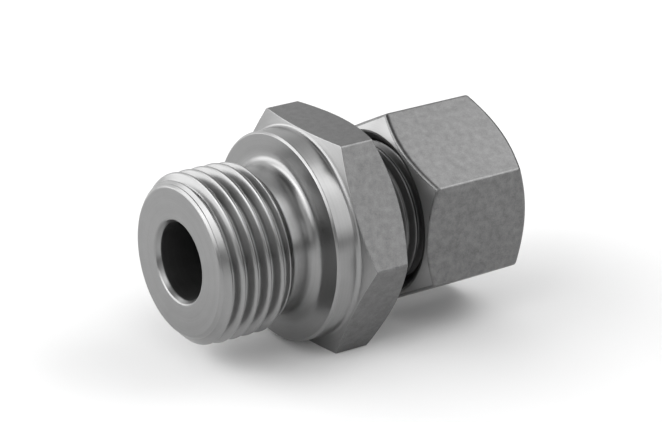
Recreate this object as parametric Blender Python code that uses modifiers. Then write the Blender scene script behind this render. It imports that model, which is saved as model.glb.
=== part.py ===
"""Compression stud coupling: a stud body, a cutting ring and a union nut on one axis.

The coupling joins a tube to a tapped port. The body is turned from one hexagon bar. It has a
parallel pipe thread and a flat sealing collar at one end, a wrench hexagon in the middle, and a
threaded tube end with a cone mouth at the other. The ring's nose lies in the cone, and the nut
presses on the ring's shoulder. The axis lies along X, and the part rests on one flat of the
body's hexagon. Lengths are in metres. Each piece is turned about its own Z axis, with Z running
from the stud to the nut, and an empty on the axis lays them all along X.
"""

from math import cos, pi, radians, sqrt, tan

import bmesh
import bpy
from mathutils import Matrix

MM = 0.001

# Stud: parallel pipe thread G 1/2 A
STUD_LENGTH = 14.0 * MM
STUD_THREAD_DIAMETER = 20.955 * MM
STUD_THREAD_PITCH = 25.4 / 14 * MM
STUD_THREAD_HALF_ANGLE = radians(27.5)
STUD_THREAD_LENGTH = 8.9 * MM
STUD_THREAD_END_SLOPE = radians(45)
STUD_THREAD_START = radians(-59)
STUD_FACE_DIAMETER = 18.1 * MM
STUD_FACE_CHAMFER = radians(45)
STUD_NECK_DIAMETER = 18.0 * MM
STUD_FILLET = 1.5 * MM

# Sealing collar
COLLAR_DIAMETER = 26.0 * MM
COLLAR_LENGTH = 2.95 * MM
COLLAR_EDGE = 0.25 * MM

# Wrench hexagon of the body
BODY_HEX = 27.0 * MM
BODY_HEX_LENGTH = 6.65 * MM
BODY_HEX_FRONT_CHAMFER = radians(16.7)
BODY_HEX_FRONT_SHARE = 0.95
BODY_HEX_REAR_CHAMFER = radians(30)
BODY_HEX_REAR_SHARE = 0.985

# Tube end: metric fine thread, relief neck, cone mouth, socket and through bore
TUBE_DIAMETER = 12.0 * MM
TUBE_END_LENGTH = 12.9 * MM
TUBE_THREAD_DIAMETER = 18.0 * MM
TUBE_THREAD_PITCH = 1.5 * MM
TUBE_THREAD_EDGE = 0.8 * MM
TUBE_RELIEF_DIAMETER = 15.8 * MM
TUBE_RELIEF_LENGTH = 2.6 * MM
CONE_HALF_ANGLE = radians(12)
CONE_MOUTH_DIAMETER = 14.3 * MM
SOCKET_DEPTH = 7.0 * MM
BORE_DIAMETER = 9.3 * MM
BORE_EDGE = 0.6 * MM

# Cutting ring
RING_LENGTH = 8.0 * MM
RING_NOSE_WALL = 0.35 * MM
RING_REAR_WALL = 0.6 * MM
RING_BULGE_DIAMETER = 15.2 * MM
RING_GROOVE_START = 1.1 * MM
RING_GROOVE_LENGTH = 1.2 * MM
RING_GROOVE_DEPTH = 0.2 * MM
SHOULDER_ANGLE = radians(45)

# Union nut
NUT_HEX = 22.0 * MM
NUT_LENGTH = 15.5 * MM
NUT_CHAMFER = radians(33)
NUT_FACE_SHARE = 0.95
NUT_FLOOR = 1.53 * MM
NUT_ROLL = radians(30)
NUT_THREAD_LENGTH = 9.0 * MM
NUT_MOUTH_EDGE = 1.2 * MM
NUT_HOLE_EDGE = 0.3 * MM

# Clearances
SOCKET_CLEARANCE = 0.15 * MM
RING_BORE_CLEARANCE = 0.05 * MM
NUT_HOLE_CLEARANCE = 0.2 * MM
SEAT_CLEARANCE = 0.2 * MM
THREAD_CLEARANCE = 0.3 * MM
BULGE_CLEARANCE = 0.3 * MM

# Whitworth form: depth and height of the sharp triangle, as shares of the pitch
WHITWORTH_DEPTH = 0.6403
WHITWORTH_TRIANGLE = 0.9605
# Metric form: how far the pitch diameter lies under the outer one, as a share of the pitch
METRIC_PITCH_DROP = 0.6495

# Facets, and how far a cutter reaches past what it cuts
TURNED_STEPS = 72
THREAD_STEPS = 36
FILLET_STEPS = 4
OVERCUT = 1.0 * MM
SMOOTH_ANGLE = radians(32)
MERGE_DISTANCE = 0.0000001

# Places along the axis, from the stud's end face
HEX_FRONT = STUD_LENGTH + COLLAR_LENGTH
HEX_REAR = HEX_FRONT + BODY_HEX_LENGTH
BODY_END = HEX_REAR + TUBE_END_LENGTH
SOCKET_STOP = BODY_END - SOCKET_DEPTH

# Radii
STUD_CREST = STUD_THREAD_DIAMETER / 2
STUD_ROOT = STUD_CREST - WHITWORTH_DEPTH * STUD_THREAD_PITCH
STUD_NECK = STUD_NECK_DIAMETER / 2
STUD_FACE = STUD_FACE_DIAMETER / 2
COLLAR = COLLAR_DIAMETER / 2
TUBE_PITCH_LINE = (TUBE_THREAD_DIAMETER - METRIC_PITCH_DROP * TUBE_THREAD_PITCH) / 2
MALE_THREAD = TUBE_PITCH_LINE - THREAD_CLEARANCE / 2
FEMALE_THREAD = TUBE_PITCH_LINE + THREAD_CLEARANCE / 2
TUBE_RELIEF = TUBE_RELIEF_DIAMETER / 2
BORE = BORE_DIAMETER / 2
SOCKET = TUBE_DIAMETER / 2 + SOCKET_CLEARANCE
CONE_MOUTH = CONE_MOUTH_DIAMETER / 2
RING_BORE = TUBE_DIAMETER / 2 + RING_BORE_CLEARANCE
RING_NOSE = RING_BORE + RING_NOSE_WALL
RING_REAR = RING_BORE + RING_REAR_WALL
RING_BULGE = RING_BULGE_DIAMETER / 2
NUT_HOLE = TUBE_DIAMETER / 2 + NUT_HOLE_CLEARANCE
NUT_INNER = RING_BULGE + BULGE_CLEARANCE

# The ring's nose stops where its edge comes within the seat clearance of the cone
NOSE_SEAT_RADIUS = RING_NOSE + SEAT_CLEARANCE / cos(CONE_HALF_ANGLE)
RING_PLACE = BODY_END - (CONE_MOUTH - NOSE_SEAT_RADIUS) / tan(CONE_HALF_ANGLE)
# The nut's inner shoulder is the ring's shoulder, pushed back by the seat clearance
SHOULDER_SHIFT = SEAT_CLEARANCE / cos(SHOULDER_ANGLE)
RING_END = RING_PLACE + RING_LENGTH
SHOULDER_START = RING_END + SHOULDER_SHIFT - (NUT_INNER - RING_REAR) / tan(SHOULDER_ANGLE)
SHOULDER_END = RING_END + SHOULDER_SHIFT + (RING_REAR - NUT_HOLE) / tan(SHOULDER_ANGLE)
# The nut's floor lies behind the shoulder, and the nut reaches forward from there over the thread
TOTAL_LENGTH = SHOULDER_END + NUT_FLOOR
NUT_FRONT = TOTAL_LENGTH - NUT_LENGTH


def clear_scene():
    """Remove every object that the file opened with."""
    for old in list(bpy.data.objects):
        bpy.data.objects.remove(old, do_unlink=True)


def new_collection(name):
    """Make a collection in the scene."""
    collection = bpy.data.collections.new(name)
    bpy.context.scene.collection.children.link(collection)
    return collection


def steel(name, colour, roughness):
    """Make a plain metal material."""
    material = bpy.data.materials.new(name)
    material.use_nodes = True
    shader = material.node_tree.nodes["Principled BSDF"]
    shader.inputs["Base Color"].default_value = (*colour, 1.0)
    shader.inputs["Metallic"].default_value = 1.0
    shader.inputs["Roughness"].default_value = roughness
    return material


def add_object(name, mesh, collection):
    """Link a new object that shows a mesh."""
    piece = bpy.data.objects.new(name, mesh)
    collection.objects.link(piece)
    return piece


def turned(name, profile, collection):
    """Turn a closed loop of (radius, height) points once about Z.

    The loop runs down the outer side. Where it starts and ends on the axis it stays open,
    and the points on the axis are merged.
    """
    mesh = bpy.data.meshes.new(name)
    count = len(profile)
    on_axis = profile[0][0] == 0 and profile[-1][0] == 0
    edges = [(i, i + 1) for i in range(count - 1)]
    if not on_axis:
        edges.append((count - 1, 0))
    mesh.from_pydata([(radius, 0, height) for radius, height in profile], edges, [])
    piece = add_object(name, mesh, collection)
    screw = piece.modifiers.new("turn", "SCREW")
    screw.axis = "Z"
    screw.angle = 2 * pi
    screw.steps = TURNED_STEPS
    screw.render_steps = TURNED_STEPS
    screw.use_merge_vertices = True
    screw.merge_threshold = MERGE_DISTANCE
    return piece


def hexagon(name, across_flats, bottom, top, collection):
    """Make a hexagonal bar whose flats face along X, with chamfered faces at both ends."""
    mesh = bpy.data.meshes.new(name)
    bar = bmesh.new()
    corner = across_flats / sqrt(3)
    bmesh.ops.create_cone(bar, cap_ends=True, segments=6, radius1=corner, radius2=corner,
                          depth=top - bottom)
    bmesh.ops.translate(bar, verts=bar.verts, vec=(0, 0, (top + bottom) / 2))
    bar.to_mesh(mesh)
    bar.free()
    return add_object(name, mesh, collection)


def chamfer_cut(name, across_flats, bottom, top, collection):
    """Turn the solid that a hexagon is trimmed to: a disc with sloping rims at both ends.

    Each end is given by its height, the slope of its rim, and a share: the width of the round
    face left there over the width across flats.
    """
    rim = across_flats / sqrt(3) + OVERCUT
    bottom_height, bottom_slope, bottom_share = bottom
    top_height, top_slope, top_share = top
    bottom_face = bottom_share * across_flats / 2
    top_face = top_share * across_flats / 2
    profile = [
        (0, top_height),
        (top_face, top_height),
        (rim, top_height - (rim - top_face) * tan(top_slope)),
        (rim, bottom_height + (rim - bottom_face) * tan(bottom_slope)),
        (bottom_face, bottom_height),
        (0, bottom_height),
    ]
    return turned(name, profile, collection)


def helical_groove(name, collection):
    """Make the cutter of the stud's thread: the groove's section, carried along the helix.

    The section is the gap between two crests of the Whitworth form, a little wider than the
    form above the crests so that it cuts them clear. It starts a turn before the end face and
    runs out in the neck.
    """
    slope = tan(STUD_THREAD_HALF_ANGLE)
    flat = STUD_THREAD_PITCH * (1 - WHITWORTH_DEPTH / WHITWORTH_TRIANGLE) / 4
    half_crest = flat + (STUD_CREST - STUD_ROOT) * slope
    top = STUD_CREST + flat / slope / 2
    half_top = half_crest + (top - STUD_CREST) * slope
    section = [(STUD_ROOT, -flat), (STUD_ROOT, flat), (top, half_top), (top, -half_top)]
    turns = STUD_THREAD_LENGTH / STUD_THREAD_PITCH + 2
    steps = round(turns * THREAD_STEPS)
    groove = bmesh.new()
    points = [groove.verts.new((radius, 0, height - STUD_THREAD_PITCH)) for radius, height in section]
    edges = [groove.edges.new((points[i - 1], points[i])) for i in range(len(points))]
    bmesh.ops.spin(groove, geom=points + edges, cent=(0, 0, 0), axis=(0, 0, 1),
                   dvec=(0, 0, STUD_THREAD_PITCH / THREAD_STEPS), angle=2 * pi * steps / THREAD_STEPS,
                   steps=steps)
    bmesh.ops.holes_fill(groove, edges=groove.edges, sides=len(section))
    bmesh.ops.recalc_face_normals(groove, faces=groove.faces)
    bmesh.ops.rotate(groove, verts=groove.verts, matrix=Matrix.Rotation(STUD_THREAD_START, 3, "Z"))
    mesh = bpy.data.meshes.new(name)
    groove.to_mesh(mesh)
    groove.free()
    return add_object(name, mesh, collection)


def combine(piece, other, operation):
    """Add an exact Boolean of another object to a piece."""
    boolean = piece.modifiers.new(other.name, "BOOLEAN")
    boolean.operation = operation
    boolean.solver = "EXACT"
    boolean.object = other


def arc(centre_radius, centre_height, radius, start, end):
    """List the points of a round stretch, between two angles from the radial direction."""
    angles = [start + (end - start) * i / FILLET_STEPS for i in range(FILLET_STEPS + 1)]
    return [(centre_radius + radius * cos(a), centre_height + radius * cos(a - pi / 2)) for a in angles]


def body_profile():
    """List the outer side of the body from the tube end down to the stud, without hexagon."""
    hex_middle = (HEX_FRONT + HEX_REAR) / 2
    relief_end = HEX_REAR + TUBE_RELIEF_LENGTH
    thread_end = STUD_THREAD_LENGTH + (STUD_CREST - STUD_NECK) / tan(STUD_THREAD_END_SLOPE)
    chamfer = (STUD_CREST - STUD_FACE) * tan(STUD_FACE_CHAMFER)
    fillet = arc(STUD_NECK + STUD_FILLET, STUD_LENGTH - STUD_FILLET, STUD_FILLET, pi / 2, pi)
    return [
        (0, BODY_END),
        (MALE_THREAD - TUBE_THREAD_EDGE, BODY_END),
        (MALE_THREAD, BODY_END - TUBE_THREAD_EDGE),
        (MALE_THREAD, relief_end + MALE_THREAD - TUBE_RELIEF),
        (TUBE_RELIEF, relief_end),
        (TUBE_RELIEF, hex_middle),
        (COLLAR, hex_middle),
        (COLLAR, STUD_LENGTH + COLLAR_EDGE),
        (COLLAR - COLLAR_EDGE, STUD_LENGTH),
        *fillet,
        (STUD_NECK, thread_end),
        (STUD_CREST, STUD_THREAD_LENGTH),
        (STUD_CREST, chamfer),
        (STUD_FACE, 0),
        (0, 0),
    ]


def body_bore_profile():
    """List the outer side of the hollow in the body: cone, socket, stop, bore and its edge."""
    cone_length = (CONE_MOUTH - SOCKET) / tan(CONE_HALF_ANGLE)
    flare = CONE_MOUTH + OVERCUT * tan(CONE_HALF_ANGLE)
    return [
        (0, BODY_END + OVERCUT),
        (flare, BODY_END + OVERCUT),
        (SOCKET, BODY_END - cone_length),
        (SOCKET, SOCKET_STOP),
        (BORE, SOCKET_STOP),
        (BORE, BORE_EDGE),
        (BORE + BORE_EDGE + OVERCUT, -OVERCUT),
        (0, -OVERCUT),
    ]


def ring_profile():
    """List the section of the cutting ring as a closed loop, from its shoulder down to its nose."""
    shoulder = (RING_BULGE - RING_REAR) / tan(SHOULDER_ANGLE)
    taper = (RING_BULGE - RING_NOSE) / tan(CONE_HALF_ANGLE)
    groove_end = RING_GROOVE_START + RING_GROOVE_LENGTH
    return [
        (RING_BORE, RING_LENGTH),
        (RING_REAR, RING_LENGTH),
        (RING_BULGE, RING_LENGTH - shoulder),
        (RING_BULGE, taper),
        (RING_NOSE, 0),
        (RING_BORE, 0),
        (RING_BORE, RING_GROOVE_START),
        (RING_BORE + RING_GROOVE_DEPTH, RING_GROOVE_START),
        (RING_BORE, groove_end),
    ]


def nut_bore_profile():
    """List the outer side of the hollow in the nut, from its tube hole down to its mouth."""
    return [
        (0, NUT_LENGTH + OVERCUT),
        (NUT_HOLE + NUT_HOLE_EDGE + OVERCUT, NUT_LENGTH + OVERCUT),
        (NUT_HOLE, NUT_LENGTH - NUT_HOLE_EDGE),
        (NUT_HOLE, SHOULDER_END - NUT_FRONT),
        (NUT_INNER, SHOULDER_START - NUT_FRONT),
        (NUT_INNER, NUT_THREAD_LENGTH),
        (FEMALE_THREAD, NUT_THREAD_LENGTH),
        (FEMALE_THREAD, NUT_MOUTH_EDGE),
        (FEMALE_THREAD + NUT_MOUTH_EDGE + OVERCUT, -OVERCUT),
        (0, -OVERCUT),
    ]


def make_stud_body(parts, cutters):
    """Turn the body, add its hexagon, bore it through and cut the stud's thread."""
    piece = turned("stud_body", body_profile(), parts)
    bar = hexagon("body_hexagon", BODY_HEX, HEX_FRONT, HEX_REAR, cutters)
    front = (HEX_FRONT, BODY_HEX_FRONT_CHAMFER, BODY_HEX_FRONT_SHARE)
    rear = (HEX_REAR, BODY_HEX_REAR_CHAMFER, BODY_HEX_REAR_SHARE)
    chamfers = chamfer_cut("body_hexagon_chamfers", BODY_HEX, front, rear, cutters)
    combine(bar, chamfers, "INTERSECT")
    combine(piece, bar, "UNION")
    combine(piece, turned("body_bore", body_bore_profile(), cutters), "DIFFERENCE")
    combine(piece, helical_groove("stud_thread_groove", cutters), "DIFFERENCE")
    return piece


def make_cutting_ring(parts):
    """Turn the ring, with its origin at its nose."""
    piece = turned("cutting_ring", ring_profile(), parts)
    piece.location.z = RING_PLACE
    return piece


def make_union_nut(parts, cutters):
    """Cut the nut from a hexagonal bar, with its origin at its front face."""
    piece = hexagon("union_nut", NUT_HEX, 0, NUT_LENGTH, parts)
    front = (0, NUT_CHAMFER, NUT_FACE_SHARE)
    rear = (NUT_LENGTH, NUT_CHAMFER, NUT_FACE_SHARE)
    chamfers = chamfer_cut("nut_chamfers", NUT_HEX, front, rear, cutters)
    combine(piece, chamfers, "INTERSECT")
    combine(piece, turned("nut_bore", nut_bore_profile(), cutters), "DIFFERENCE")
    return piece


def settle(piece):
    """Apply a piece's modifiers and shade its round faces smooth."""
    bpy.context.view_layer.update()
    graph = bpy.context.evaluated_depsgraph_get()
    mesh = bpy.data.meshes.new_from_object(piece.evaluated_get(graph))
    mesh.name = piece.name
    piece.modifiers.clear()
    piece.data = mesh
    mesh.shade_smooth()
    mesh.set_sharp_from_angle(angle=SMOOTH_ANGLE)


def main():
    """Build the coupling."""
    clear_scene()
    parts = new_collection("compression_stud_coupling")
    cutters = new_collection("cutters")
    axis = bpy.data.objects.new("coupling_axis", None)
    parts.objects.link(axis)
    axis.location = (-TOTAL_LENGTH / 2, 0, BODY_HEX / 2)
    axis.rotation_euler = (0, pi / 2, 0)
    body = make_stud_body(parts, cutters)
    ring = make_cutting_ring(parts)
    nut = make_union_nut(parts, cutters)
    for cutter in cutters.objects:
        cutter.hide_render = True
        cutter.display_type = "WIRE"
    finishes = {
        body: steel("body_steel", (0.47, 0.47, 0.46), 0.34),
        ring: steel("ring_steel", (0.35, 0.34, 0.33), 0.4),
        nut: steel("nut_steel", (0.44, 0.44, 0.43), 0.42),
    }
    for piece, finish in finishes.items():
        settle(piece)
        piece.data.materials.clear()
        piece.data.materials.append(finish)
        piece.parent = axis
    nut.location.z = NUT_FRONT
    nut.rotation_euler.z = NUT_ROLL
    bpy.context.view_layer.update()


main()
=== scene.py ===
"""Looks of a compression stud coupling: turned and drawn steel on a pale studio floor.

Three pieces of steel share one axis, which lies along X. The stud body is turned from hexagon
bar, and has a pipe thread with a sealing collar at one end and a fine thread at the other. The
cutting ring lies in the cone of the tube end, and the union nut holds it there. Each piece is
one closed surface: a profile carried once round the axis, in which the radius and the place
along the axis may change with the angle, as they do on a thread or on a hexagon.

Lengths are in metres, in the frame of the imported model. Places along the axis are measured from
the stud's end face. Angles round the axis are measured from straight down, turning through +Y.
"""

from __future__ import annotations

import logging
from collections.abc import Callable, Sequence
from dataclasses import dataclass
from enum import IntEnum
from typing import NamedTuple

import bpy
import numpy as np
from mathutils import Matrix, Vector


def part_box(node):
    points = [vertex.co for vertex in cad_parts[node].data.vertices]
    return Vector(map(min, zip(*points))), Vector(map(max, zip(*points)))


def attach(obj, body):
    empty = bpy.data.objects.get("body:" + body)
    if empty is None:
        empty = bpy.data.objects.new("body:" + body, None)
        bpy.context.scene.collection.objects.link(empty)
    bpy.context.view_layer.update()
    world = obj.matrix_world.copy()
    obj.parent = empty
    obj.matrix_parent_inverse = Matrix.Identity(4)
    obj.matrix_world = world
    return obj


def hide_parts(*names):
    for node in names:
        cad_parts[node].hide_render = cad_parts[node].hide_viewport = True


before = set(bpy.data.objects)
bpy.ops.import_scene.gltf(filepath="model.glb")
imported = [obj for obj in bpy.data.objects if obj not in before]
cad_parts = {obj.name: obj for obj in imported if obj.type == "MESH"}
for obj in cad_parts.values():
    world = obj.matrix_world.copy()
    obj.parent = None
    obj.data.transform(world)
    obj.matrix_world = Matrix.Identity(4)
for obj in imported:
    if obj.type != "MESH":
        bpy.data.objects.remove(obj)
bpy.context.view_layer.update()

MM = 0.001
TURN = 2 * np.pi

# Names of the attributes that say how rubbed a point is, which makes edges lighter with rubbing
# and a painted highlight, and how deep it lies in a thread, which darkens it with painted shade.
WEAR_AND_SHEEN = "edge_wear_and_sheen"
HOLLOW = "hollow"

# Columns at a hexagon's corner, and how far its rubbing and painted highlight reach, over the
# angle of its rounding.
CORNER_COLUMNS = np.array([-1.9, -1.25, -1.0, -0.66, -0.33, 0.0, 0.33, 0.66, 1.0, 1.25, 1.9])
RUB_AND_SHEEN_REACH = 1.1

log = logging.getLogger("coupling")


class Finish(IntEnum):
    """How a band of a piece was made; the two darker finishes are painted shade inside holes and
    gaps. The value is the band's material index.
    """

    TURNED = 0
    THREADED = 1
    DRAWN = 2
    # Painted shade: darker steel inside bores, sockets and the nut's mouth, where shade falls.
    BORED = 3
    # Painted shade: darker steel on the threads in the gap beside the nut and inside it.
    DULL = 4


@dataclass(frozen=True)
class Axis:
    """The line that every piece is turned about, along +X.

    Attributes:
        start: X of the stud's end face.
        height: height of the axis above the floor.
    """

    start: float
    height: float

    def place(self, along: np.ndarray, radius: np.ndarray, angle: np.ndarray) -> np.ndarray:
        """Turn places along and away from the axis into points of the frame.

        X is the start plus the place along the axis. Y is the radius times the angle's sine, and
        Z is the axis height less the radius times its cosine.

        Args:
            along: distances from the stud's end face, rows by columns.
            radius: distances from the axis, rows by columns.
            angle: angles round the axis, one for each column.

        Returns:
            Points, rows by columns by three.
        """
        across = radius * np.sin(angle)
        up = self.height - radius * np.cos(angle)
        return np.stack([self.start + along, across, up], axis=-1)


@dataclass(frozen=True)
class Corner:
    """A corner of a piece's profile, and the band that runs on from it.

    Attributes:
        along: distance from the stud's end face, one value or one for each column.
        radius: distance from the axis, one value or one for each column.
        cut: how far the rounding of this corner reaches along both sides.
        finish: finish of the band between this corner and the next.
        fill: for a threaded band, the function that gives its radius from its place and angle.
        step: distance between the rows of a threaded band.
        worn_and_sheen: True where the edge is made lighter: rubbed bright, and a painted highlight.
    """

    along: float | np.ndarray
    radius: float | np.ndarray
    cut: float
    finish: Finish = Finish.TURNED
    fill: Callable[[np.ndarray, np.ndarray], np.ndarray] | None = None
    step: float = 0.1 * MM
    worn_and_sheen: bool = False


def soft_min(first: np.ndarray, second: np.ndarray | float, width: float) -> np.ndarray:
    """Take the smaller of two values, with a parabola over the corner where they cross.

    Where the two differ by less than the width, the result is the smaller one less the square of
    the shortfall, over four widths.
    """
    short = np.maximum(width - np.abs(first - second), 0)
    return np.minimum(first, second) - short**2 / (4 * width)


def soft_max(first: np.ndarray, second: np.ndarray | float, width: float) -> np.ndarray:
    """Take the larger of two values, with a parabola over the corner where they cross."""
    return -soft_min(-first, -second, width)


@dataclass(frozen=True)
class Thread:
    """A screw thread with straight flanks and rounded crests and roots.

    Attributes:
        pitch: distance from crest to crest.
        crest: radius over the crests.
        depth: height of the crests over the roots, negative for a thread cut in a hole.
        half_angle: slope of a flank from the plane across the axis, in radians.
        crest_width: width of the crest before it is rounded.
        rounding: height over which crests and roots are rounded.
        phase: place of one crest along the axis, straight below it.
    """

    pitch: float
    crest: float
    depth: float
    half_angle: float
    crest_width: float
    rounding: float
    phase: float

    def radius(self, along: np.ndarray, angle: np.ndarray) -> np.ndarray:
        """Work out the radius of the thread's surface.

        The distance to the nearest crest is the place along the axis, less the crest's place and
        less a pitch for each turn of the angle, folded into half a pitch. The fall below the
        crest is that distance past the crest's edge over the tangent of the flank's slope, held
        softly between nothing and the thread's depth.

        Args:
            along: distances from the stud's end face.
            angle: angles round the axis.

        Returns:
            Radii, in the shape that the two arguments have together.
        """
        turns = (along - self.phase) / self.pitch - angle / TURN
        distance = np.abs(turns - np.round(turns)) * self.pitch
        fall = (distance - self.crest_width / 2) / np.tan(self.half_angle)
        fall = soft_min(fall, abs(self.depth), self.rounding)
        fall = soft_max(fall, 0.0, self.rounding)
        return self.crest - np.sign(self.depth) * fall


@dataclass(frozen=True)
class Hexagon:
    """The outline of a hexagon bar with rounded corners.

    Attributes:
        across_flats: width between opposite flats.
        edge_radius: radius of the rounding at its corners.
        first_corner: angle of one corner round the axis, in radians.
    """

    across_flats: float
    edge_radius: float
    first_corner: float

    def angles(self, spacing: float) -> np.ndarray:
        """List the angles of the columns, close together at the corners and even on the flats.

        Args:
            spacing: angle between columns on the flats, in radians.

        Returns:
            Angles that rise from just before the first corner, once round.
        """
        near = CORNER_COLUMNS * self.edge_reach()
        flat = TURN / 6 - 2 * near[-1]
        count = int(np.ceil(flat / spacing))
        far = near[-1] + flat * np.arange(1, count) / count
        one_side = np.concatenate([near, far])
        corners = self.first_corner + TURN / 6 * np.arange(6)
        return (corners[:, None] + one_side[None, :]).ravel()

    @property
    def edge_centre(self) -> float:
        """Distance from the axis to the centre of a corner's rounding."""
        return self.across_flats / np.sqrt(3) - self.edge_radius / np.sin(TURN / 6)

    def edge_reach(self) -> float:
        """Work out the angle from a corner to where its rounding meets the flat."""
        along = self.edge_centre + self.edge_radius * np.cos(TURN / 12)
        return float(np.arctan2(self.edge_radius / 2, along))

    def off_corner(self, angle: np.ndarray) -> np.ndarray:
        """Fold angles round the axis into the angle from the nearest corner."""
        side = TURN / 6
        return np.abs((angle - self.first_corner + side / 2) % side - side / 2)

    def radius(self, angle: np.ndarray) -> np.ndarray:
        """Work out the distance from the axis to the outline.

        On a flat it is half the width across flats over the cosine of the angle from the flat's
        middle. Near a corner it is where the ray meets the rounding's circle.

        Args:
            angle: angles round the axis.

        Returns:
            One radius for each angle.
        """
        off = self.off_corner(angle)
        flat = self.across_flats / 2 / np.cos(TURN / 12 - off)
        chord = np.maximum(self.edge_radius**2 - (self.edge_centre * np.sin(off)) ** 2, 0)
        round_off = self.edge_centre * np.cos(off) + np.sqrt(chord)
        return np.where(off < self.edge_reach(), round_off, flat)

    def wear_and_sheen(self, angle: np.ndarray) -> np.ndarray:
        """Give each column's rubbing and painted highlight: 1 on the rounded corners, 0 on the
        flats.
        """
        return (self.off_corner(angle) < RUB_AND_SHEEN_REACH * self.edge_reach()).astype(float)


class Rows(NamedTuple):
    """Rows of a profile that is carried round the axis.

    Attributes:
        place: place and radius of each point, rows by columns by two.
        wear_and_sheen: how rubbed each point is, for lighter edges with a painted highlight, rows by
            columns.
        hollow: how deep each point lies in a thread, for painted shade there, rows by columns.
        finish: finish of each row.
    """

    place: np.ndarray
    wear_and_sheen: np.ndarray
    hollow: np.ndarray
    finish: np.ndarray


@dataclass
class Lathe:
    """Builds closed pieces from profiles carried round the axis.

    Attributes:
        axis: the axis that pieces are turned about.
        arc_steps: rows across the rounding of a corner, less one.
        guard_share: how far a guard row lies from its corner, in cuts.
        guard_reach: how far it lies past the end of the rounding at most.
    """

    axis: Axis
    arc_steps: int = 5
    guard_share: float = 1.6
    guard_reach: float = 0.04 * MM

    def arcs(self, corners: Sequence[Corner], columns: int) -> np.ndarray:
        """Round the corners of a closed profile.

        Each corner becomes a parabola that is tangent to both sides a cut's length away from it,
        between two guard rows that keep the bands beside it flat.

        Args:
            corners: the profile's corners in order, the last joined to the first.
            columns: number of columns.

        Returns:
            Places and radii, corners by rows by columns by two.
        """
        along = np.stack([np.broadcast_to(c.along, columns) for c in corners])
        radius = np.stack([np.broadcast_to(c.radius, columns) for c in corners])
        here = np.stack([along, radius], axis=-1)
        cut = np.array([c.cut for c in corners])[:, None, None]
        back = np.roll(here, 1, axis=0) - here
        ahead = np.roll(here, -1, axis=0) - here
        back = back / np.linalg.norm(back, axis=-1, keepdims=True)
        ahead = ahead / np.linalg.norm(ahead, axis=-1, keepdims=True)
        share = np.linspace(0, 1, self.arc_steps + 1)[None, :, None, None]
        begin, end = here + back * cut, here + ahead * cut
        arc = ((1 - share) ** 2 * begin[:, None] + 2 * share * (1 - share) * here[:, None]
               + share**2 * end[:, None])
        guard = np.minimum(cut * self.guard_share, cut + self.guard_reach)
        first, last = here + back * guard, here + ahead * guard
        return np.concatenate([first[:, None], arc, last[:, None]], axis=1)

    def rows(self, corners: Sequence[Corner], angle: np.ndarray, across: np.ndarray) -> Rows:
        """Work out every row of a closed profile.

        Each corner gives the rows of its rounding, half of them in the finish before it and half
        in its own. A threaded band then gets rows at even steps, whose radius comes from the
        band's own function.

        Args:
            corners: the profile's corners in order, the last joined to the first.
            angle: angles of the columns.
            across: how rubbed each column is on drawn bands, for lighter edges with a painted
                highlight.

        Returns:
            The rows in order.
        """
        arcs = self.arcs(corners, len(angle))
        count = arcs.shape[1]
        middle = count // 2
        rounded = np.ones((count, 1))
        rounded[[0, -1]] = 0
        bands: list[Rows] = []
        for index, corner in enumerate(corners):
            before, after = int(corners[index - 1].finish), int(corner.finish)
            finish = np.where(np.arange(count) < middle, before, after)
            drawn = (finish == Finish.DRAWN).astype(float)
            drawn[middle] = float(Finish.DRAWN in (before, after))
            # How rubbed each point is, which later lightens it with rubbing and a painted highlight.
            wear_and_sheen = np.maximum(rounded * float(corner.worn_and_sheen), drawn[:, None] * across)
            bands.append(Rows(arcs[index], wear_and_sheen, np.zeros_like(wear_and_sheen), finish))
            if corner.fill is not None:
                begin, end = arcs[index, -1], arcs[(index + 1) % len(corners), 0]
                place, hollow = self.threaded(corner, begin, end, angle)
                bands.append(Rows(place, np.zeros_like(hollow), hollow, np.full(len(hollow), after)))
        return Rows(*(np.concatenate(parts) for parts in zip(*bands)))

    @staticmethod
    def threaded(corner: Corner, begin: np.ndarray, end: np.ndarray,
                 angle: np.ndarray) -> tuple[np.ndarray, np.ndarray]:
        """Fill a threaded band with rows at even steps.

        Args:
            corner: the corner that the band starts at.
            begin: place and radius of the band's first row, by columns.
            end: place and radius of the row after the band, by columns.
            angle: angles of the columns.

        Returns:
            Places and radii of the rows, and how deep each point lies: 0 at the largest radius
            and 1 at the smallest.
        """
        count = int(np.abs(end[0, 0] - begin[0, 0]) / corner.step)
        share = (np.arange(1, count) / count)[:, None]
        along = begin[None, :, 0] * (1 - share) + end[None, :, 0] * share
        radius = corner.fill(along, angle[None, :])
        hollow = (radius.max() - radius) / (radius.max() - radius.min())
        return np.stack([along, radius], axis=-1), hollow

    def turn(self, name: str, corners: Sequence[Corner], angle: np.ndarray,
             across: np.ndarray | float = 0.0) -> bpy.types.Object:
        """Make a piece: a closed grid with the rows of a profile and the given columns.

        Args:
            name: name of the piece.
            corners: the profile's corners: up the front, back along the outside, and so round.
            angle: angles of the columns.
            across: how rubbed each column is on drawn bands, for lighter edges with a painted
                highlight, or one value for all.

        Returns:
            The piece, with how rubbed each point is, for lighter edges with a painted highlight,
            and how deep it lies, for painted shade in thread hollows, in attributes.
        """
        rows = self.rows(corners, angle, np.broadcast_to(across, len(angle)))
        points = self.axis.place(rows.place[..., 0], rows.place[..., 1], angle)
        count, columns = points.shape[:2]
        row, column = np.meshgrid(np.arange(count), np.arange(columns), indexing="ij")
        next_row, next_column = (row + 1) % count, (column + 1) % columns
        quads = np.stack([row * columns + column, row * columns + next_column,
                          next_row * columns + next_column, next_row * columns + column], axis=-1)
        quads = quads.reshape(-1, 4)
        mesh = bpy.data.meshes.new(name)
        mesh.from_pydata(points.reshape(-1, 3).tolist(), [], quads.tolist())
        mesh.polygons.foreach_set("material_index", np.repeat(rows.finish, columns).astype(np.int32))
        mesh.shade_smooth()
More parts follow.
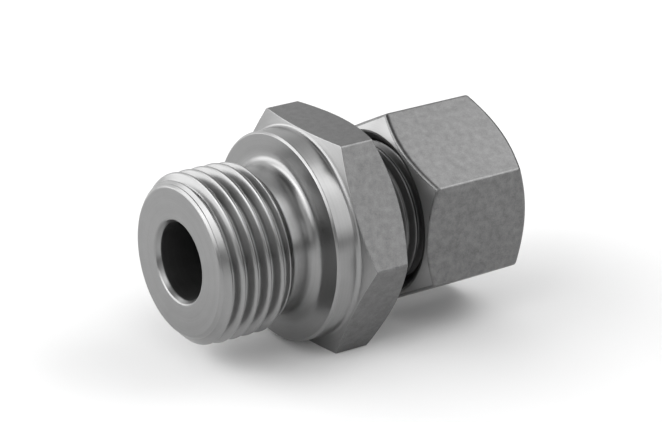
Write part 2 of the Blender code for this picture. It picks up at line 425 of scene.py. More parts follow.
        # Store the rubbing, for lighter edges with a painted highlight, and the depth, for painted
        # shade in thread hollows.
        for label, values in ((WEAR_AND_SHEEN, rows.wear_and_sheen), (HOLLOW, rows.hollow)):
            attribute = mesh.attributes.new(label, "FLOAT", "POINT")
            attribute.data.foreach_set("value", values.astype(np.float32).ravel())
        mesh.update()
        piece = bpy.data.objects.new(name, mesh)
        bpy.context.scene.collection.objects.link(piece)
        log.info("%s: %d rows by %d columns, %d triangles", name, count, columns, 2 * len(quads))
        return piece


@dataclass
class StudBody:
    """The stud body: pipe thread, collar, hexagon, fine thread, cone, socket and through bore.

    A share is over the size that its name begins with: a thread's depth, the height of its sharp
    form and the place of a crest are over its pitch, and a round face of the hexagon is over the
    hexagon's width.
    """

    lathe: Lathe

    # The stud: its pipe thread, its ends and its neck.
    stud_length: float = 14.0 * MM
    stud_crest: float = 20.955 / 2 * MM
    stud_pitch: float = 25.4 / 14 * MM
    stud_depth_share: float = 0.6403
    stud_sharp_share: float = 0.9605
    stud_half_angle: float = np.radians(27.5)
    stud_rounding: float = 0.3 * MM
    stud_thread_length: float = 8.9 * MM
    stud_run_out: float = 2.4 * MM
    stud_phase_share: float = 0.665
    stud_face: float = 9.05 * MM
    stud_lead: float = 0.3 * MM
    neck: float = 9.0 * MM
    fillet: float = 1.5 * MM

    # The collar and the hexagon, with the hollow between them.
    collar: float = 13.0 * MM
    collar_length: float = 2.95 * MM
    collar_edge: float = 0.25 * MM
    hex_width: float = 27.0 * MM
    hex_length: float = 6.65 * MM
    hex_edge: float = 0.4 * MM
    hex_front_slope: float = np.radians(16.7)
    hex_front_share: float = 0.95
    hex_rear_slope: float = np.radians(30)
    hex_rear_share: float = 0.985
    hex_root: float = 0.5 * MM

    # The tube end: its fine thread and its relief neck.
    tube_length: float = 12.9 * MM
    tube_crest: float = 9.0 * MM
    tube_pitch: float = 1.5 * MM
    tube_depth: float = 0.92 * MM
    tube_half_angle: float = np.radians(30)
    tube_rounding: float = 0.12 * MM
    tube_phase: float = 27.5 * MM
    tube_end_edge: float = 1.2 * MM
    relief: float = 7.9 * MM
    relief_length: float = 2.6 * MM

    # The cone, the tube socket and the bore.
    cone_mouth: float = 7.15 * MM
    cone_half_angle: float = np.radians(12)
    socket: float = 6.15 * MM
    socket_depth: float = 7.0 * MM
    bore: float = 4.75 * MM
    bore_edge: float = 0.45 * MM
    bore_edge_depth: float = 0.65 * MM

    column_spacing: float = np.radians(2.3)

    @property
    def hex_front(self) -> float:
        """Place of the hexagon's front, where the collar ends."""
        return self.stud_length + self.collar_length

    @property
    def hex_rear(self) -> float:
        """Place of the hexagon's rear face."""
        return self.hex_front + self.hex_length

    @property
    def tube_end(self) -> float:
        """Place of the end face round the cone's mouth."""
        return self.hex_rear + self.tube_length

    def stud_thread(self) -> Thread:
        """Describe the pipe thread, whose sharp form is cut off alike at crests and roots.

        Returns:
            The thread. Its crests are as wide as the flanks leave them before they are rounded.
        """
        crest_width = self.stud_pitch * (1 - self.stud_depth_share / self.stud_sharp_share) / 2
        return Thread(self.stud_pitch, self.stud_crest, self.stud_depth_share * self.stud_pitch,
                      self.stud_half_angle, crest_width, self.stud_rounding,
                      self.stud_phase_share * self.stud_pitch)

    def tube_thread(self) -> Thread:
        """Describe the fine thread, whose crests are an eighth of the pitch wide."""
        return Thread(self.tube_pitch, self.tube_crest, self.tube_depth, self.tube_half_angle,
                      self.tube_pitch / 8, self.tube_rounding, self.tube_phase)

    def stud_radius(self, along: np.ndarray, angle: np.ndarray) -> np.ndarray:
        """Work out the stud's radius: the thread, cut down by the turned outline over it.

        The outline rises at 45 degrees from the end face to the crests, and falls at 45 degrees
        from the thread's end. The result is the smaller of thread and outline, but never less
        than the neck.

        Args:
            along: distances from the stud's end face, rows by columns.
            angle: angles round the axis.

        Returns:
            Radii, rows by columns.
        """
        thread = self.stud_thread().radius(along, angle)
        rise = self.stud_face + along
        drop = self.stud_crest - (along - self.stud_thread_length)
        turned = soft_min(thread, soft_min(rise, drop, width=0.15 * MM), width=0.1 * MM)
        return soft_max(turned, self.neck, width=0.25 * MM)

    def tube_radius(self, along: np.ndarray, angle: np.ndarray) -> np.ndarray:
        """Work out the tube end's radius: the fine thread between two slopes of 45 degrees.

        Args:
            along: distances from the stud's end face, rows by columns.
            angle: angles round the axis.

        Returns:
            Radii, rows by columns.
        """
        thread = self.tube_thread().radius(along, angle)
        rise = self.relief + (along - (self.hex_rear + self.relief_length))
        drop = self.tube_crest - self.tube_end_edge + (self.tube_end - along)
        return soft_min(thread, soft_min(rise, drop, width=0.1 * MM), width=0.08 * MM)

    @staticmethod
    def bend(start: float, floor: float, size: float, sweep: float, count: int, cut: float,
             last_cut: float) -> list[Corner]:
        """List the corners of a hollow fillet that rises from a cylinder.

        The fillet's centre lies its size above the cylinder, over the start. A point on it is
        that far from the centre, turned by its angle from straight down towards the rear.

        Args:
            start: place where the fillet leaves the cylinder.
            floor: radius of the cylinder.
            size: radius of the fillet.
            sweep: how far the fillet turns, in radians.
            count: how many corners it has.
            cut: how far the rounding of its corners reaches.
            last_cut: how far the rounding of its last corner reaches.

        Returns:
            The corners, from the cylinder up.
        """
        turned = np.linspace(0, sweep, count)
        cuts = [cut] * (count - 1) + [last_cut]
        return [Corner(start + size * np.sin(a), floor + size * (1 - np.cos(a)), c)
                for a, c in zip(turned, cuts)]

    def corners(self, angle: np.ndarray) -> list[Corner]:
        """List the corners of the body's profile, from the bore's mouth out and round.

        Args:
            angle: angles of the columns, which the hexagon's corners follow.

        Returns:
            The corners in order, back to the bore.
        """
        bar = self.outline().radius(angle)
        front_face = self.hex_front_share * self.hex_width / 2
        front = self.hex_front + (bar - front_face) * np.tan(self.hex_front_slope)
        rear_face = self.hex_rear_share * self.hex_width / 2
        rear = self.hex_rear - (bar - rear_face) * np.tan(self.hex_rear_slope)
        foot = self.hex_front + (self.collar - front_face) * np.tan(self.hex_front_slope)
        sweep = TURN / 4 - self.hex_front_slope
        root_start = foot - self.hex_root * np.tan(sweep / 2)
        lead = self.stud_face + self.stud_lead
        neck_start = self.stud_thread_length + self.stud_run_out
        thread_start = self.hex_rear + self.relief_length
        cone_end = self.tube_end - (self.cone_mouth - self.socket) / np.tan(self.cone_half_angle)
        stop = self.tube_end - self.socket_depth
        return [
            Corner(self.bore_edge_depth, self.bore, cut=0.15 * MM),
            Corner(0, self.bore + self.bore_edge, cut=0.2 * MM),
            Corner(0, self.stud_face, cut=0.16 * MM, finish=Finish.THREADED),
            Corner(self.stud_lead, lead, cut=0.01 * MM, finish=Finish.THREADED,
                   fill=self.stud_radius, step=0.08 * MM),
            Corner(neck_start, self.neck, cut=0.05 * MM),
            *self.bend(self.stud_length - self.fillet, self.neck, self.fillet, TURN / 4,
                       count=5, cut=0.25 * MM, last_cut=0.25 * MM),
            # The collar's outer edge is lighter: rubbing and a painted highlight.
            Corner(self.stud_length, self.collar - self.collar_edge, cut=0.05 * MM, worn_and_sheen=True),
            Corner(self.stud_length + self.collar_edge, self.collar, cut=0.05 * MM),
            *self.bend(root_start, self.collar, self.hex_root, sweep,
                       count=4, cut=0.06 * MM, last_cut=0.02 * MM),
            Corner(front, bar, cut=0.07 * MM, finish=Finish.DRAWN),
            Corner(rear, bar, cut=0.07 * MM),
            Corner(self.hex_rear, rear_face, cut=0.05 * MM),
            # Painted shade: the relief and the fine thread, in the gap beside the nut, are darker
            # steel.
            Corner(self.hex_rear, self.relief, cut=0.2 * MM, finish=Finish.DULL),
            Corner(thread_start, self.relief, cut=0.05 * MM, finish=Finish.DULL,
                   fill=self.tube_radius, step=0.095 * MM),
            Corner(self.tube_end, self.tube_crest - self.tube_end_edge, cut=0.05 * MM),
            Corner(self.tube_end, self.cone_mouth, cut=0.06 * MM),
            # Painted shade: the socket, its floor and the through bore are darker steel.
            Corner(cone_end, self.socket, cut=0.1 * MM, finish=Finish.BORED),
            Corner(stop, self.socket, cut=0.1 * MM, finish=Finish.BORED),
            Corner(stop, self.bore, cut=0.1 * MM, finish=Finish.BORED),
        ]

    def outline(self) -> Hexagon:
        """Describe the hexagon, which stands on one flat."""
        return Hexagon(self.hex_width, self.hex_edge, TURN / 12)

    def build(self) -> bpy.types.Object:
        """Build the body."""
        outline = self.outline()
        angle = outline.angles(self.column_spacing)
        # The hexagon's rounded corners are lighter: rubbing and a painted highlight.
        return self.lathe.turn("stud_body_turned", self.corners(angle), angle, outline.wear_and_sheen(angle))


@dataclass
class CuttingRing:
    """The cutting ring: a tapered nose that lies in the cone, and a shoulder for the nut."""

    lathe: Lathe
    nose_place: float
    length: float = 8.0 * MM
    bore: float = 6.05 * MM
    nose_wall: float = 0.35 * MM
    rear_wall: float = 0.6 * MM
    bulge: float = 7.6 * MM
    taper: float = np.radians(12)
    shoulder: float = np.radians(45)
    groove_start: float = 1.1 * MM
    groove_length: float = 1.2 * MM
    groove_depth: float = 0.2 * MM
    column_spacing: float = np.radians(2.5)

    def corners(self) -> list[Corner]:
        """List the corners of the ring's section.

        Returns:
            The corners, up the nose, over the outer side and back along the groove and the bore.
        """
        place, rear = self.nose_place, self.nose_place + self.length
        nose, back = self.bore + self.nose_wall, self.bore + self.rear_wall
        rise = place + (self.bulge - nose) / np.tan(self.taper)
        fall = rear - (self.bulge - back) / np.tan(self.shoulder)
        groove = place + self.groove_start
        return [
            Corner(place, self.bore, cut=0.03 * MM),
            # The nose's edge and the rear edge are lighter: rubbing and a painted highlight.
            Corner(place, nose, cut=0.06 * MM, worn_and_sheen=True),
            Corner(rise, self.bulge, cut=0.2 * MM),
            Corner(fall, self.bulge, cut=0.15 * MM),
            Corner(rear, back, cut=0.06 * MM, worn_and_sheen=True),
            Corner(rear, self.bore, cut=0.06 * MM),
            Corner(groove + self.groove_length, self.bore, cut=0.03 * MM),
            Corner(groove, self.bore + self.groove_depth, cut=0.03 * MM),
            Corner(groove, self.bore, cut=0.02 * MM),
        ]

    def build(self) -> bpy.types.Object:
        """Build the ring."""
        angle = np.arange(0, TURN, self.column_spacing)
        return self.lathe.turn("cutting_ring_turned", self.corners(), angle)


@dataclass
class UnionNut:
    """The union nut: hexagon bar with chamfered ends, an inner thread, a shoulder and a tube hole.

    Attributes:
        lathe: the lathe that makes it.
        front: place of its face round the mouth.
        rear: place of its face round the tube hole.
        thread: thread of the tube end that it screws on.
    """

    lathe: Lathe
    front: float
    rear: float
    thread: Thread
    hex_width: float = 22.0 * MM
    hex_edge: float = 0.4 * MM
    hex_slope: float = np.radians(33)
    hex_round: float = 0.38 * MM
    skin_reach: float = 0.43 * MM
    face_share: float = 0.95
    thread_length: float = 9.0 * MM
    mouth: float = 10.2 * MM
    thread_gap: float = 0.06 * MM
    inner: float = 7.9 * MM
    shoulder_start: float = 12.2 * MM
    hole: float = 6.2 * MM
    hole_edge: float = 0.3 * MM
    column_spacing: float = np.radians(2.4)

    def bore_thread(self) -> Thread:
        """Describe the nut's thread: the hollow form of the tube end's thread, a gap away.

        Returns:
            A thread of negative depth, with its crests between the tube end's crests.
        """
        minor = self.thread.crest - self.thread.depth + 2 * self.thread_gap
        depth = self.thread.crest + self.thread_gap - minor
        lost = 2 * depth * np.tan(self.thread.half_angle)
        crest_width = self.thread.pitch - lost - self.thread.crest_width
        return Thread(self.thread.pitch, minor, -depth, self.thread.half_angle, crest_width,
                      self.thread.rounding, self.thread.phase + self.thread.pitch / 2)

    def bore_radius(self, along: np.ndarray, angle: np.ndarray) -> np.ndarray:
        """Work out the radius of the threaded hole: the thread, opened by the mouth's chamfer.

        Args:
            along: distances from the stud's end face, rows by columns.
            angle: angles round the axis.

        Returns:
            Radii, rows by columns.
        """
        thread = self.bore_thread().radius(along, angle)
        return soft_max(thread, self.mouth - (along - self.front), width=0.08 * MM)

    def corners(self, angle: np.ndarray) -> list[Corner]:
        """List the corners of the nut's section.

        Args:
            angle: angles of the columns, which the hexagon's corners follow.

        Returns:
            The corners, from the mouth out over the flats and back through the hole.
        """
        bar = self.outline().radius(angle)
        face = self.face_share * self.hex_width / 2
        rise = (bar - face) * np.tan(self.hex_slope)
        skin_along = self.skin_reach * np.sin(self.hex_slope)
        skin = bar - self.skin_reach * np.cos(self.hex_slope)
        thread_end = self.front + self.thread_length
        shoulder = self.front + self.shoulder_start
        floor = shoulder + self.inner - self.hole
        root = self.thread.crest + self.thread_gap
        return [
            Corner(self.front, self.mouth, cut=0.05 * MM),
            Corner(self.front, face, cut=0.05 * MM),
            Corner(self.front + rise - skin_along, skin, cut=0.01 * MM, finish=Finish.DRAWN),
            Corner(self.front + rise, bar, cut=self.hex_round, finish=Finish.DRAWN),
            Corner(self.rear - rise, bar, cut=self.hex_round, finish=Finish.DRAWN),
            Corner(self.rear - rise + skin_along, skin, cut=0.01 * MM),
            Corner(self.rear, face, cut=0.06 * MM),
            Corner(self.rear, self.hole + self.hole_edge, cut=0.06 * MM),
            # Painted shade: the tube hole and the bore behind the thread are darker steel.
            Corner(self.rear - self.hole_edge, self.hole, cut=0.05 * MM, finish=Finish.BORED),
            Corner(floor, self.hole, cut=0.05 * MM),
            Corner(shoulder, self.inner, cut=0.1 * MM, finish=Finish.BORED),
            Corner(thread_end, self.inner, cut=0.1 * MM, finish=Finish.BORED),
            # Painted shade: the nut's inner thread is darker steel.
            Corner(thread_end, self.thread.crest, cut=0.05 * MM, finish=Finish.DULL,
                   fill=self.bore_radius),
            # Painted shade: the chamfer of the nut's mouth is darker steel.
            Corner(self.front + self.mouth - root, root, cut=0.03 * MM, finish=Finish.BORED),
        ]

    def outline(self) -> Hexagon:
        """Describe the hexagon, which stands on one corner."""
        return Hexagon(self.hex_width, self.hex_edge, 0.0)

    def build(self) -> bpy.types.Object:
        """Build the nut."""
        outline = self.outline()
        angle = outline.angles(self.column_spacing)
        # The hexagon's rounded corners are lighter: rubbing and a painted highlight.
        return self.lathe.turn("union_nut_drawn", self.corners(angle), angle, outline.wear_and_sheen(angle))


class Nodes:
    """A node tree under construction, with short ways to add and join nodes."""

    def __init__(self, tree: bpy.types.NodeTree) -> None:
        """Start on a tree and empty it."""
        self.tree = tree
        tree.nodes.clear()

    def add(self, kind: str, **settings: object) -> bpy.types.Node:
        """Add a node and set its properties.

        Args:
            kind: the node's type, such as ShaderNodeMath.
            settings: values of the node's properties, by name.

        Returns:
            The new node.
        """
        node = self.tree.nodes.new(kind)
        for name, value in settings.items():
            setattr(node, name, value)
        return node

    def join(self, source: object, target: bpy.types.NodeSocket) -> None:
        """Feed a socket from another socket, or set it to a constant."""
        if isinstance(source, bpy.types.NodeSocket):
            self.tree.links.new(source, target)
        else:
            target.default_value = source

    def feed(self, node: bpy.types.Node, *values: object) -> bpy.types.NodeSocket | None:
        """Set or feed a node's inputs in order.

        Args:
            node: the node.
            values: sockets or constants, the first for the node's first input.

        Returns:
            The node's first output, or None for a node that ends a tree.
        """
        for value, socket in zip(values, node.inputs):
            self.join(value, socket)
        return node.outputs[0] if node.outputs else None

    def math(self, operation: str, *values: object) -> bpy.types.NodeSocket:
        """Add a Math node and return its result."""
        return self.feed(self.add("ShaderNodeMath", operation=operation), *values)

    def length(self, first: object, second: object) -> bpy.types.NodeSocket:
        """Work out the length of a line from its parts along two directions at right angles."""
        squares = [self.math("MULTIPLY", part, part) for part in (first, second)]
        return self.math("SQRT", self.math("ADD", *squares))

    def swing(self, value: bpy.types.NodeSocket, amount: float) -> bpy.types.NodeSocket:
        """Turn a value round a half into one round nothing, with the given reach."""
        return self.math("MULTIPLY", self.math("SUBTRACT", value, 0.5), 2 * amount)

    def place(self) -> bpy.types.NodeSocket:
        """Give each point's place in the coordinates of its piece."""
        return self.add("ShaderNodeTexCoord").outputs["Object"]

    def carried(self, name: str) -> bpy.types.NodeSocket:
        """Give the value that each point carries in an attribute."""
        return self.add("ShaderNodeAttribute", attribute_name=name).outputs["Fac"]

    def noise(self, vector: object, scale: object, detail: float = 2.0,
              roughness: float = 0.6) -> bpy.types.NodeSocket:
        """Add a noise texture.

        Args:
            vector: coordinates that it is worked out from.
            scale: how many times they are multiplied.
            detail: how many finer layers it has.
            roughness: strength of each layer over the one before.

        Returns:
            Its value, which lies round a half.
        """
        node = self.add("ShaderNodeTexNoise")
        settings = {"Vector": vector, "Scale": scale, "Detail": detail, "Roughness": roughness}
        for name, value in settings.items():
            self.join(value, node.inputs[name])
        return node.outputs["Fac"]

    def spread(self, value: object, low: float = 0.3, high: float = 0.7, to_low: float = 0.0,
               to_high: float = 1.0) -> bpy.types.NodeSocket:
        """Map a range, which is where a noise mostly lies, onto another, held at its ends."""
        return self.feed(self.add("ShaderNodeMapRange"), value, low, high, to_low, to_high)

    def group(self, tree: bpy.types.NodeTree, size: float) -> Sequence[bpy.types.NodeSocket]:
        """Place a node group, set its one input and return its outputs."""
        node = self.add("ShaderNodeGroup", node_tree=tree)
        self.feed(node, size)
        return node.outputs


def new_group(name: str, size: str, outputs: Sequence[str]) -> tuple[Nodes, bpy.types.NodeSocket]:
    """Make a shader node group that turns one number into several.

    Args:
        name: name of the group.
        size: name of its input.
        outputs: names of its outputs.

    Returns:
        The group's nodes, and the input's socket inside it.
    """
    tree = bpy.data.node_groups.new(name, "ShaderNodeTree")
    tree.interface.new_socket(size, in_out="INPUT", socket_type="NodeSocketFloat")
    for label in outputs:
        tree.interface.new_socket(label, in_out="OUTPUT", socket_type="NodeSocketFloat")
    nodes = Nodes(tree)
    return nodes, nodes.add("NodeGroupInput").outputs[0]


def new_surface(name: str) -> tuple[bpy.types.Material, Nodes, bpy.types.Node]:
    """Make a material of one Principled shader.

    Args:
        name: name of the material.

    Returns:
        The material, its nodes and the shader.
    """
    material = bpy.data.materials.new(name)
    material.use_nodes = True
    nodes = Nodes(material.node_tree)
    shader = nodes.add("ShaderNodeBsdfPrincipled")
    nodes.feed(nodes.add("ShaderNodeOutputMaterial"), shader.outputs[0])
    return material, nodes, shader


@dataclass
class SteelEffects:
    """The shader node groups that every steel finish shares.

    Attributes:
        axis: the axis that the turning marks run round.
        band_scale: scale of the broad rings over that of the fine ones.
        fine_scale: scale of the bar's pits over that of its clouds.
        line_stretch: scale along the bar over that across it, for the lines of drawing.
    """

    axis: Axis
    band_scale: float = 0.14
    fine_scale: float = 7.0
    line_stretch: float = 0.06

    def __post_init__(self) -> None:
        """Build the groups once."""
        self.turning = self.turning_marks()
        self.grain = self.bar_grain()
        self.rub_and_sheen = self.edge_sheen_and_hollow_shade()

    def turning_marks(self) -> bpy.types.NodeTree:
        """Build the marks of a lathe tool: rings round the axis.

        A point's place along the axis and its distance from it are stretched, and its angle
        hardly counts, so that a noise over the three is drawn out into rings.

        Returns:
            A group with the input Lines, rings for each millimetre, and the outputs Ring, a
            fine ring, and Band, a broad one, both round a half.
        """
        nodes, given = new_group("turning_marks", "Lines", ["Ring", "Band"])
        to_axis = (0, 0, -self.axis.height)
        centred = nodes.feed(nodes.add("ShaderNodeMapping"), nodes.place(), to_axis)
        parts = nodes.add("ShaderNodeSeparateXYZ")
        nodes.feed(parts, centred)
        x, y, z = parts.outputs
        radius = nodes.length(y, z)
        lines = nodes.math("MULTIPLY", given, 1 / MM)
        along, away = nodes.math("MULTIPLY", x, lines), nodes.math("MULTIPLY", radius, lines)
        # The millimetre keeps the ratio finite on the axis.
        round_axis = nodes.math("DIVIDE", y, nodes.math("ADD", radius, MM))
        rings = nodes.feed(nodes.add("ShaderNodeCombineXYZ"), along, away, round_axis)
        ring = nodes.noise(rings, 1.0)
        band = nodes.noise(rings, self.band_scale, roughness=0.5)
        nodes.feed(nodes.add("NodeGroupOutput"), ring, band)
        return nodes.tree

    def bar_grain(self) -> bpy.types.NodeTree:
        """Build the skin of drawn bar: cloudy patches, fine pits and faint lines along the bar.

        Returns:
            A group with the input Size, the width of a patch in millimetres, and the outputs
            Cloud and Pit, from 0 to 1, and Line, all three round a half.
        """
        nodes, given = new_group("bar_grain", "Size", ["Cloud", "Pit", "Line"])
        place = nodes.place()
        scale = nodes.math("DIVIDE", 1 / MM, given)
        fine = nodes.math("MULTIPLY", scale, self.fine_scale)
        stretch = (self.line_stretch, 1, 1)
        drawn = nodes.feed(nodes.add("ShaderNodeMapping"), place, (0, 0, 0), (0, 0, 0), stretch)
        cloud = nodes.spread(nodes.noise(place, scale, detail=3.0))
        pit = nodes.spread(nodes.noise(place, fine))
        nodes.feed(nodes.add("NodeGroupOutput"), cloud, pit, nodes.noise(drawn, fine))
        return nodes.tree

    @staticmethod
    def edge_sheen_and_hollow_shade() -> bpy.types.NodeTree:
        """Build the lighter edges, rubbing with a painted highlight, and the painted shade deep in
        thread hollows, both uneven.

        Returns:
            A group with the input Size, the width of an uneven patch in millimetres, and the
            outputs Rub, up to 1 where an edge is rubbed and gets a painted highlight, and Film, up
            to 1 deep in a thread, where it gets painted shade.
        """
        nodes, given = new_group("edge_sheen_and_hollow_shade", "Size", ["Rub", "Hollow_shade"])
        patch = nodes.noise(nodes.place(), nodes.math("DIVIDE", 1 / MM, given), detail=3.0)
        # Lighter rubbed edges: rubbing and a painted highlight, unevenly.
        uneven_rub_and_sheen = nodes.spread(patch, low=0.35, high=0.6, to_low=0.25)
        rub_and_sheen = nodes.math("MULTIPLY", nodes.carried(WEAR_AND_SHEEN), uneven_rub_and_sheen)
        # Painted shade: darker deep in thread hollows, unevenly.
        hollow_shade = nodes.math("MULTIPLY", nodes.carried(HOLLOW), nodes.spread(patch, to_low=0.6))
        nodes.feed(nodes.add("NodeGroupOutput"), rub_and_sheen, hollow_shade)
        return nodes.tree


@dataclass(frozen=True)
class SteelFinish:
    """A finish of bare steel.

    Attributes:
        name: name of the material.
        colour: base colour of the clean metal.
        rough: roughness of the clean metal.
        cloud_tone: how much cloudy patches change the colour.
        cloud_size: width of a cloudy patch in millimetres.
        speck_tone: how much fine specks change the colour.
        ring_tone: how much the turning rings change the colour.
        ring_depth: height of the turning rings in metres.
        lines: turning rings for each millimetre.
        pit_depth: depth of the fine pits in metres.
        cloud_rough: how much cloudy patches change the roughness.
        streak: how much faint lines along the bar change the roughness.
        rub_and_sheen: how much lighter rubbed edges are: rubbing and a painted highlight.
        sheen_and_shade_size: width of an uneven patch in the lighter edges and the painted hollow
            shade, in millimetres.
        hollow_shade: how much darker thread hollows are: painted shade.
    """

    name: str
    colour: tuple[float, float, float]
    rough: float
    cloud_tone: float
    cloud_size: float
    speck_tone: float
    ring_tone: float = 0.0
    ring_depth: float = 0.0
    lines: float = 6.0
    pit_depth: float = 0.0
    cloud_rough: float = 0.02
    streak: float = 0.0
    rub_and_sheen: float = 0.0
    sheen_and_shade_size: float = 0.8
    hollow_shade: float = 0.0

    def make(self, effects: SteelEffects) -> bpy.types.Material:
        """Build the material.

        The base colour is multiplied by a tone: one, plus what the rings, clouds and pits add or
        take away, plus the lighter edges of rubbing and a painted highlight, and all of it less the
        share of painted shade deep in thread hollows. The rings and pits also raise the surface, and
        clouds and drawn lines change the roughness a little.

        Args:
            effects: the shared node groups.

        Returns:
            The material.
        """
        material, nodes, shader = new_surface(self.name)
        shader.inputs["Metallic"].default_value = 1.0
        ring, band = nodes.group(effects.turning, self.lines)
        cloud, pit, line = nodes.group(effects.grain, self.cloud_size)
        rub_and_sheen, hollow_shade = nodes.group(effects.rub_and_sheen, self.sheen_and_shade_size)
        tone = 1.0
        for value, amount in ((ring, self.ring_tone), (band, self.ring_tone),
                              (cloud, self.cloud_tone), (pit, self.speck_tone)):
            tone = nodes.math("ADD", tone, nodes.swing(value, amount))
        # Lighter rubbed edges: rubbing and a painted highlight.
        tone = nodes.math("ADD", tone, nodes.math("MULTIPLY", rub_and_sheen, self.rub_and_sheen))
        # Painted shade: the base colour is darker deep in thread hollows.
        unshaded = nodes.math("SUBTRACT", 1.0, nodes.math("MULTIPLY", hollow_shade, self.hollow_shade))
        tint = nodes.add("ShaderNodeVectorMath", operation="SCALE")
        nodes.join(self.colour, tint.inputs[0])
        nodes.join(nodes.math("MULTIPLY", tone, unshaded), tint.inputs["Scale"])
        nodes.join(tint.outputs[0], shader.inputs["Base Color"])
        rough = nodes.math("ADD", self.rough, nodes.swing(cloud, self.cloud_rough))
        rough = nodes.math("ADD", rough, nodes.swing(line, self.streak))
        nodes.join(rough, shader.inputs["Roughness"])
        bump = nodes.add("ShaderNodeBump")
        bump.inputs["Distance"].default_value = 1.0
        height = nodes.math("ADD", nodes.math("MULTIPLY", ring, self.ring_depth),
                            nodes.math("MULTIPLY", pit, self.pit_depth))
        nodes.join(height, bump.inputs["Height"])
        nodes.join(bump.outputs[0], shader.inputs["Normal"])
        return material


# In each finish the edge lightening is partly a painted highlight, and the hollow darkening is
# painted shade.
STEEL = {
    Finish.TURNED: SteelFinish(
        "turned_bright_steel", (0.26, 0.26, 0.26), rough=0.3, cloud_tone=0.03, cloud_size=2.5,
        speck_tone=0.01, ring_tone=0.08, ring_depth=0.0003 * MM, lines=8.0, rub_and_sheen=0.15, hollow_shade=0.15),
    Finish.THREADED: SteelFinish(
        "thread_cut_steel", (0.26, 0.26, 0.26), rough=0.31, cloud_tone=0.03, cloud_size=2.0,
        speck_tone=0.01, ring_tone=0.06, ring_depth=0.0002 * MM, rub_and_sheen=0.1, hollow_shade=0.1),
    Finish.DRAWN: SteelFinish(
        "drawn_bar_steel", (0.16, 0.16, 0.16), rough=0.35, cloud_tone=0.17, cloud_size=0.9,
        speck_tone=0.13, pit_depth=0.0006 * MM, streak=0.03, rub_and_sheen=0.15),
    # Painted shade: a darker steel for bores, sockets and the nut's mouth, which lie in shade.
    Finish.BORED: SteelFinish(
        "bore_steel_painted_shade", (0.1, 0.1, 0.1), rough=0.55, cloud_tone=0.05, cloud_size=1.5,
        speck_tone=0.03, ring_tone=0.1, ring_depth=0.0005 * MM, hollow_shade=0.3),
    # Painted shade: a darker steel for the relief, the fine thread and the nut's inner thread, which
    # lie in shade.
    Finish.DULL: SteelFinish(
        "thread_steel_painted_shade", (0.14, 0.14, 0.14), rough=0.4, cloud_tone=0.05, cloud_size=1.5,
        speck_tone=0.03, ring_tone=0.05, ring_depth=0.0002 * MM, rub_and_sheen=0.1, hollow_shade=0.2),
}


@dataclass(frozen=True)
class Glow:
    """A soft patch of light on the room's walls, as a lit cloth gives.

    Attributes:
        azimuth: its direction from the object, from +Y towards +X, in degrees.
        elevation: its height above the horizon, in degrees.
        width: angle from its middle to either side, in degrees.
        height: angle from its middle to its top and bottom, in degrees.
        strength: brightness of its middle, where 1 is white.
        core: share of the patch, from its middle out, that is evenly bright.
    """

    azimuth: float
    elevation: float
    width: float
    height: float
    strength: float
    core: float = 0.5

    def shine(self, nodes: Nodes, way: bpy.types.NodeSocket) -> bpy.types.NodeSocket:
        """Work out the patch's light in a direction.

        The direction's parts sideways and upwards are each divided by the sine of the patch's
        angle that way. The length of the two together is 1 at the patch's edge, and is mapped
        with a smooth step from the strength at the core to nothing at the edge. Directions that
        point away from the patch get nothing.

        Args:
            nodes: the world's nodes.
            way: the direction, of length one.

        Returns:
            The light that the patch adds.
        """
        a, e = np.radians([self.azimuth, self.elevation])
        middle = np.array([np.sin(a) * np.cos(e), np.cos(a) * np.cos(e), np.sin(e)])
        side = np.array([np.cos(a), -np.sin(a), 0.0])
        up = np.cross(side, middle)
        x = self.part(nodes, way, side / np.sin(np.radians(self.width)))
        y = self.part(nodes, way, up / np.sin(np.radians(self.height)))
        step = nodes.add("ShaderNodeMapRange", interpolation_type="SMOOTHSTEP")
        light = nodes.feed(step, nodes.length(x, y), self.core, 1.0, self.strength, 0.0)
        ahead = nodes.math("GREATER_THAN", self.part(nodes, way, middle), 0.0)
        return nodes.math("MULTIPLY", light, ahead)

    @staticmethod
    def part(nodes: Nodes, way: bpy.types.NodeSocket, along: np.ndarray) -> bpy.types.NodeSocket:
        """Work out how much of a direction points along another."""
        dot = nodes.add("ShaderNodeVectorMath", operation="DOT_PRODUCT")
        nodes.feed(dot, way, tuple(along.tolist()))
        return dot.outputs["Value"]


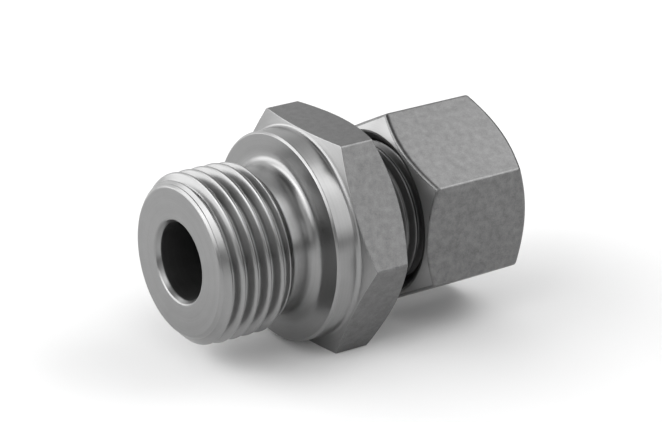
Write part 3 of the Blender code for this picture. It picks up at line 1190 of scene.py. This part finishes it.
@dataclass
class Studio:
    """The pale floor, the soft light and the camera.

    Attributes:
        target: the point that the camera looks at.
        azimuth: camera's angle round the object, 0 looking along +Y, in degrees.
        elevation: camera's angle above the horizon, in degrees.
        roll: camera's turn about its own line of sight, in degrees.
        distance: camera's distance from the target.
        lens: focal length in millimetres, on the sensor below.
        sensor: sensor width in millimetres.
        reach: nearest and furthest distances that the camera sees.
        floor_size: side of the floor.
        floor_colour: colour of the floor, where 1 is white.
        floor_rough: roughness of the floor.
        room: brightness of the room's walls.
        glows: the soft patches of light on them.
    """

    target: tuple[float, float, float] = (-0.212 * MM, -0.378 * MM, 15.282 * MM)
    azimuth: float = -35.86
    elevation: float = 22.446
    roll: float = 1.163
    distance: float = 341.4 * MM
    lens: float = 152.2
    sensor: float = 36.0
    reach: tuple[float, float] = (0.01, 100.0)
    floor_size: float = 8.0
    floor_colour: float = 0.86
    floor_rough: float = 0.9
    room: float = 0.08
    # Each glow's azimuth, elevation, width, height and strength, in that order.
    glows: tuple[Glow, ...] = (
        Glow(-56, 37, 41, 16, 4.0),
        Glow(-50, 8, 55, 20, 3.3),
        Glow(89, 56, 50, 32, 1.0),
        Glow(105, 46, 27, 19, 2.8),
        Glow(143, 26, 24, 23, 1.9),
        Glow(-146, 59, 36, 19, 1.0),
        Glow(7, 23, 43, 39, 1.2),
        Glow(-100, 34, 31, 26, 2.9),
        Glow(-162, 28, 38, 24, 0.8),
    )

    def camera(self) -> None:
        """Set the camera at the photograph's angle.

        It stands back from the target by its distance, and its right and up are turned by the
        roll about that line.
        """
        a, e, r = np.radians([self.azimuth, self.elevation, self.roll])
        back = np.array([np.sin(a) * np.cos(e), -np.cos(a) * np.cos(e), np.sin(e)])
        right = np.cross([0, 0, 1], back)
        right = right / np.linalg.norm(right)
        up = np.cross(back, right)
        right, up = np.cos(r) * right + np.sin(r) * up, np.cos(r) * up - np.sin(r) * right
        place = np.array(self.target) + self.distance * back
        data = bpy.data.cameras.new("camera")
        data.lens = self.lens
        data.sensor_width = self.sensor
        data.clip_start, data.clip_end = self.reach
        camera = bpy.data.objects.new("camera", data)
        bpy.context.scene.collection.objects.link(camera)
        matrix = np.eye(4)
        matrix[:3] = np.stack([right, up, back, place], axis=1)
        camera.matrix_world = Matrix(matrix.tolist())
        bpy.context.scene.camera = camera

    def floor(self) -> None:
        """Lay the floor at the height of the object's lowest point, which is 0."""
        half = self.floor_size / 2
        mesh = bpy.data.meshes.new("floor")
        mesh.from_pydata([(-half, -half, 0), (half, -half, 0), (half, half, 0), (-half, half, 0)],
                         [], [(0, 1, 2, 3)])
        floor = bpy.data.objects.new("floor", mesh)
        bpy.context.scene.collection.objects.link(floor)
        material, _, shader = new_surface("pale_floor")
        shader.inputs["Base Color"].default_value = (self.floor_colour,) * 3 + (1,)
        shader.inputs["Roughness"].default_value = self.floor_rough
        shader.inputs["Specular IOR Level"].default_value = 0.0
        floor.data.materials.append(material)

    def world(self) -> None:
        """Light the room: even walls, and the soft patches on them."""
        world = bpy.data.worlds.new("room")
        world.use_nodes = True
        nodes = Nodes(world.node_tree)
        seen = nodes.add("ShaderNodeTexCoord").outputs["Generated"]
        way = nodes.feed(nodes.add("ShaderNodeVectorMath", operation="NORMALIZE"), seen)
        light = self.room
        for glow in self.glows:
            light = nodes.math("ADD", light, glow.shine(nodes, way))
        walls = nodes.feed(nodes.add("ShaderNodeBackground"), light)
        nodes.feed(nodes.add("ShaderNodeOutputWorld"), walls)
        bpy.context.scene.world = world

    def build(self) -> None:
        """Set up the camera, the floor and the room."""
        bpy.context.scene.view_settings.view_transform = "Standard"
        self.camera()
        self.floor()
        self.world()
        log.info("studio: floor, walls with %d soft lights, and camera", len(self.glows))


def dress(piece: bpy.types.Object, body: str, node: str,
          materials: Sequence[bpy.types.Material]) -> None:
    """Give a piece its finishes and tie it to the frame.

    Args:
        piece: the piece.
        body: the body that it rides on.
        node: the node of the model that it stands for.
        materials: its materials, in the order of the finishes.
    """
    for material in materials:
        piece.data.materials.append(material)
    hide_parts(node)
    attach(piece, body)
    log.info("%s stands for %s on body %s", piece.name, node, body)


def main() -> None:
    """Build the pieces, dress them and set up the studio."""
    logging.basicConfig(level=logging.INFO, format="%(name)s: %(message)s")
    body_low, body_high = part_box("stud_body")
    ring_low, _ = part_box("cutting_ring")
    nut_low, nut_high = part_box("union_nut")
    axis = Axis(body_low.x, (body_low.z + body_high.z) / 2)
    lathe = Lathe(axis)
    stud_body = StudBody(lathe)
    ring = CuttingRing(lathe, ring_low.x - axis.start)
    nut = UnionNut(lathe, nut_low.x - axis.start, nut_high.x - axis.start, stud_body.tube_thread())
    effects = SteelEffects(axis)
    finishes = [STEEL[finish].make(effects) for finish in Finish]
    dress(stud_body.build(), "body", "stud_body", finishes)
    dress(ring.build(), "ring", "cutting_ring", finishes)
    dress(nut.build(), "nut", "union_nut", finishes)
    Studio().build()


if __name__ == "__main__":
    main()
